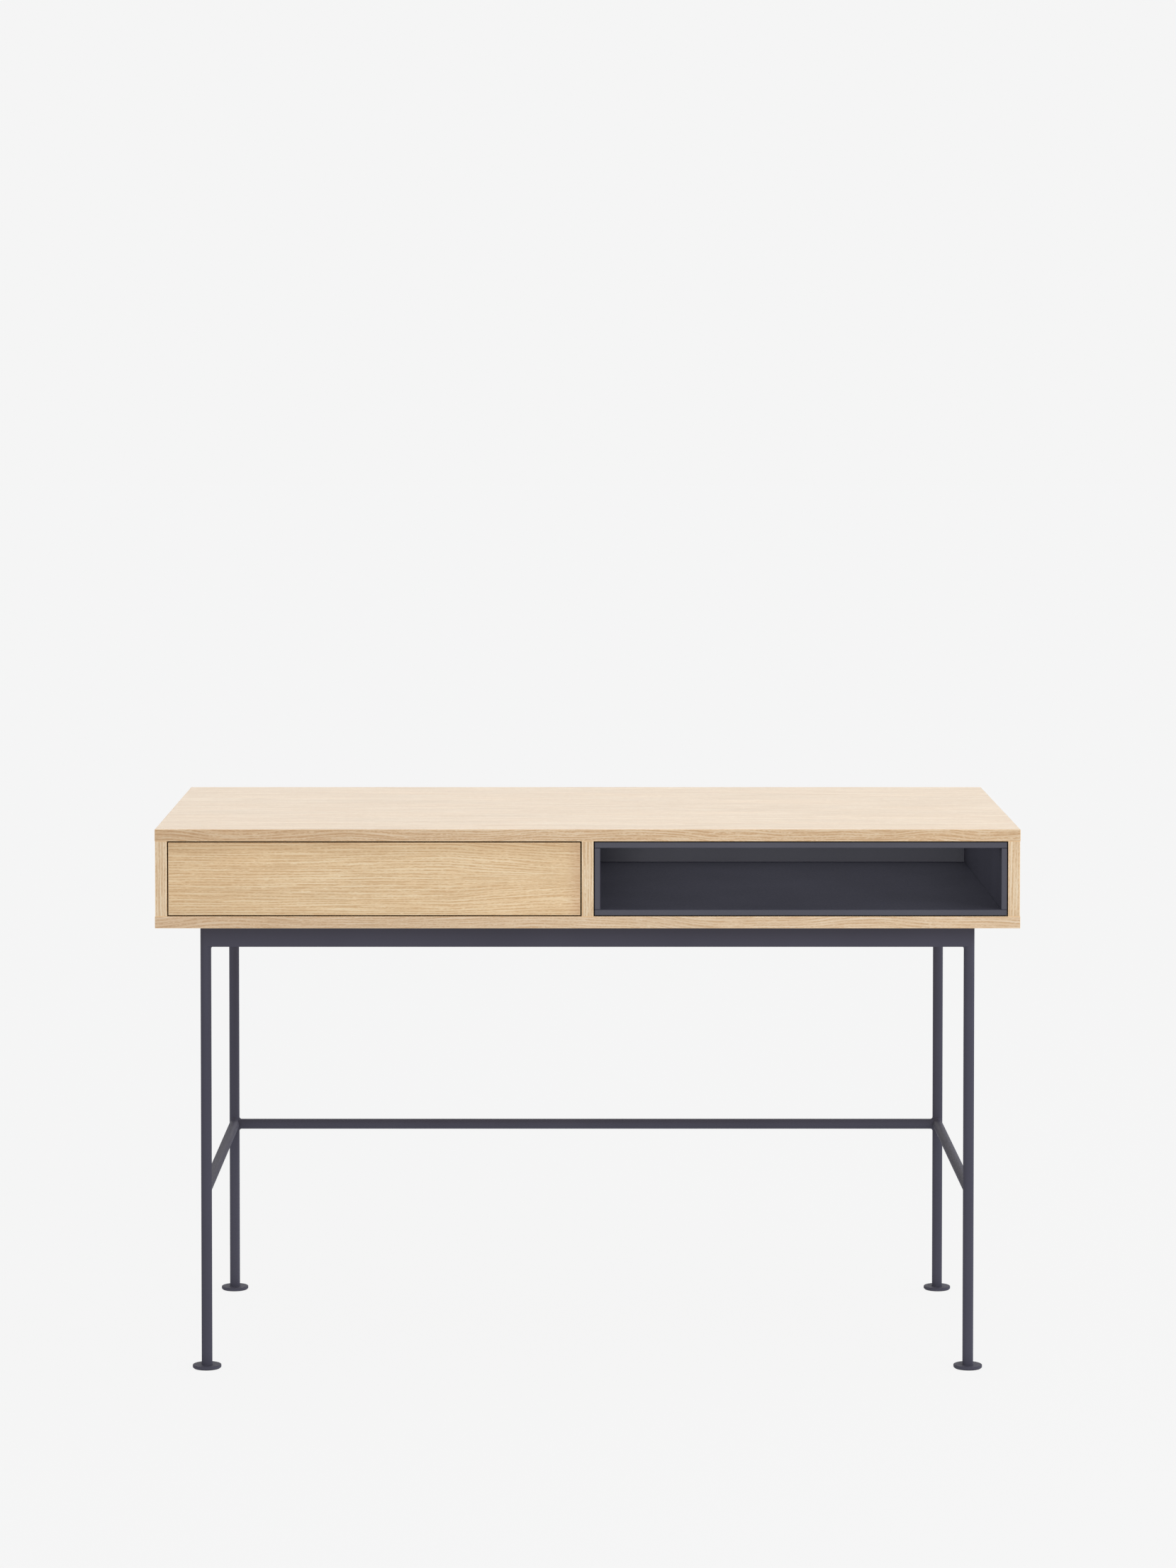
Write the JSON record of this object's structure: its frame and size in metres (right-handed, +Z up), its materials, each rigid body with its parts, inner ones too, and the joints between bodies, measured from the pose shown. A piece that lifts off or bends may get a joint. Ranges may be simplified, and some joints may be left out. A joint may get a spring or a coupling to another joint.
{
  "type": "writing desk with drawer",
  "caption": "Writing desk: a flat oak-veneered cabinet with a push-to-open drawer and an open dark-painted niche, bolted to a welded frame of slim steel tube on disc feet.",
  "frame": {"origin": "on the floor, under the middle of the desk's box", "axes": "+X along the desk to the user's right, -Y towards the user (the drawer opens along -Y), +Z up"},
  "size_m": [1.2, 0.6, 0.76],
  "materials": {
    "oak_veneer": "pale washed oak veneer, matt lacquer",
    "birch_wood": "pale birch, thin matt lacquer",
    "beech_dowel": "bare beech",
    "liner_paint": "board in matt dark grey-violet lacquer",
    "frame_paint": "matt dark grey-violet powder coat",
    "zinc_steel": "bright zinc plate",
    "insert_brass": "machined brass",
    "latch_plastic": "fine moulded texture",
    "plunger_plastic": "smooth moulded",
    "black_rubber": "matt black"
  },
  "bodies": {
    "cabinet": {"top_panel": "oak_veneer", "bottom_panel": "oak_veneer", "left_side_panel": "oak_veneer", "right_side_panel": "oak_veneer", "centre_divider": "oak_veneer", "back_panel": "oak_veneer", "carcass_dowels": "beech_dowel", "liner_top_board": "liner_paint", "liner_bottom_board": "liner_paint", "liner_left_board": "liner_paint", "liner_right_board": "liner_paint", "liner_back_board": "liner_paint", "liner_spacers": "black_rubber", "left_slide_cabinet_member": "zinc_steel", "right_slide_cabinet_member": "zinc_steel", "slide_cabinet_screws": "zinc_steel", "push_latch_housing": "latch_plastic", "push_latch_spring": "zinc_steel", "push_latch_screws": "zinc_steel", "front_left_leg": "frame_paint", "front_right_leg": "frame_paint", "rear_left_leg": "frame_paint", "rear_right_leg": "frame_paint", "front_apron": "frame_paint", "rear_apron": "frame_paint", "left_apron": "frame_paint", "right_apron": "frame_paint", "rear_stretcher": "frame_paint", "left_stretcher": "frame_paint", "right_stretcher": "frame_paint", "frame_welds": "frame_paint", "frame_mounting_tabs": "frame_paint", "frame_bolts": "zinc_steel", "threaded_inserts": "insert_brass", "front_left_foot": "frame_paint", "front_right_foot": "frame_paint", "rear_left_foot": "frame_paint", "rear_right_foot": "frame_paint", "foot_pads": "black_rubber"},
    "drawer": {"drawer_front": "oak_veneer", "drawer_box_front": "birch_wood", "drawer_left_wall": "birch_wood", "drawer_right_wall": "birch_wood", "drawer_back_wall": "birch_wood", "drawer_base": "birch_wood", "drawer_dowels": "beech_dowel", "drawer_front_screws": "zinc_steel", "left_slide_drawer_member": "zinc_steel", "right_slide_drawer_member": "zinc_steel", "slide_drawer_screws": "zinc_steel", "latch_strike_plate": "zinc_steel"},
    "left_middle_member": {"left_slide_middle_member": "zinc_steel"},
    "right_middle_member": {"right_slide_middle_member": "zinc_steel"},
    "left_outer_cage": {"left_slide_outer_ball_cage": "zinc_steel"},
    "right_outer_cage": {"right_slide_outer_ball_cage": "zinc_steel"},
    "left_inner_cage": {"left_slide_inner_ball_cage": "zinc_steel"},
    "right_inner_cage": {"right_slide_inner_ball_cage": "zinc_steel"},
    "latch_plunger": {"push_latch_plunger": "plunger_plastic", "push_latch_magnet": "black_rubber"}
  },
  "joints": [
    {"name": "drawer_slide", "type": "slide", "parent": "cabinet", "child": "drawer", "axis": [0, -1, 0], "range_m": [0, 0.48]},
    {"name": "left_middle_slide", "type": "slide", "parent": "cabinet", "child": "left_middle_member", "axis": [0, -1, 0], "range_m": [0, 0.24]},
    {"name": "left_outer_cage_slide", "type": "slide", "parent": "cabinet", "child": "left_outer_cage", "axis": [0, -1, 0], "range_m": [0, 0.12]},
    {"name": "left_inner_cage_slide", "type": "slide", "parent": "left_middle_member", "child": "left_inner_cage", "axis": [0, -1, 0], "range_m": [0, 0.12]},
    {"name": "right_middle_slide", "type": "slide", "parent": "cabinet", "child": "right_middle_member", "axis": [0, -1, 0], "range_m": [0, 0.24]},
    {"name": "right_outer_cage_slide", "type": "slide", "parent": "cabinet", "child": "right_outer_cage", "axis": [0, -1, 0], "range_m": [0, 0.12]},
    {"name": "right_inner_cage_slide", "type": "slide", "parent": "right_middle_member", "child": "right_inner_cage", "axis": [0, -1, 0], "range_m": [0, 0.12]},
    {"name": "latch_plunger_slide", "type": "slide", "parent": "cabinet", "child": "latch_plunger", "axis": [0, -1, 0], "range_m": [0, 0.02], "deforming": ["push_latch_spring"]}
  ],
  "couplings": [
    {"joint": "left_middle_slide", "follows": "drawer_slide", "ratio": 0.5},
    {"joint": "left_outer_cage_slide", "follows": "drawer_slide", "ratio": 0.25},
    {"joint": "left_inner_cage_slide", "follows": "drawer_slide", "ratio": 0.25},
    {"joint": "right_middle_slide", "follows": "drawer_slide", "ratio": 0.5},
    {"joint": "right_outer_cage_slide", "follows": "drawer_slide", "ratio": 0.25},
    {"joint": "right_inner_cage_slide", "follows": "drawer_slide", "ratio": 0.25},
    {"joint": "latch_plunger_slide", "follows": "drawer_slide", "ratio": 0.0416}
  ]
}
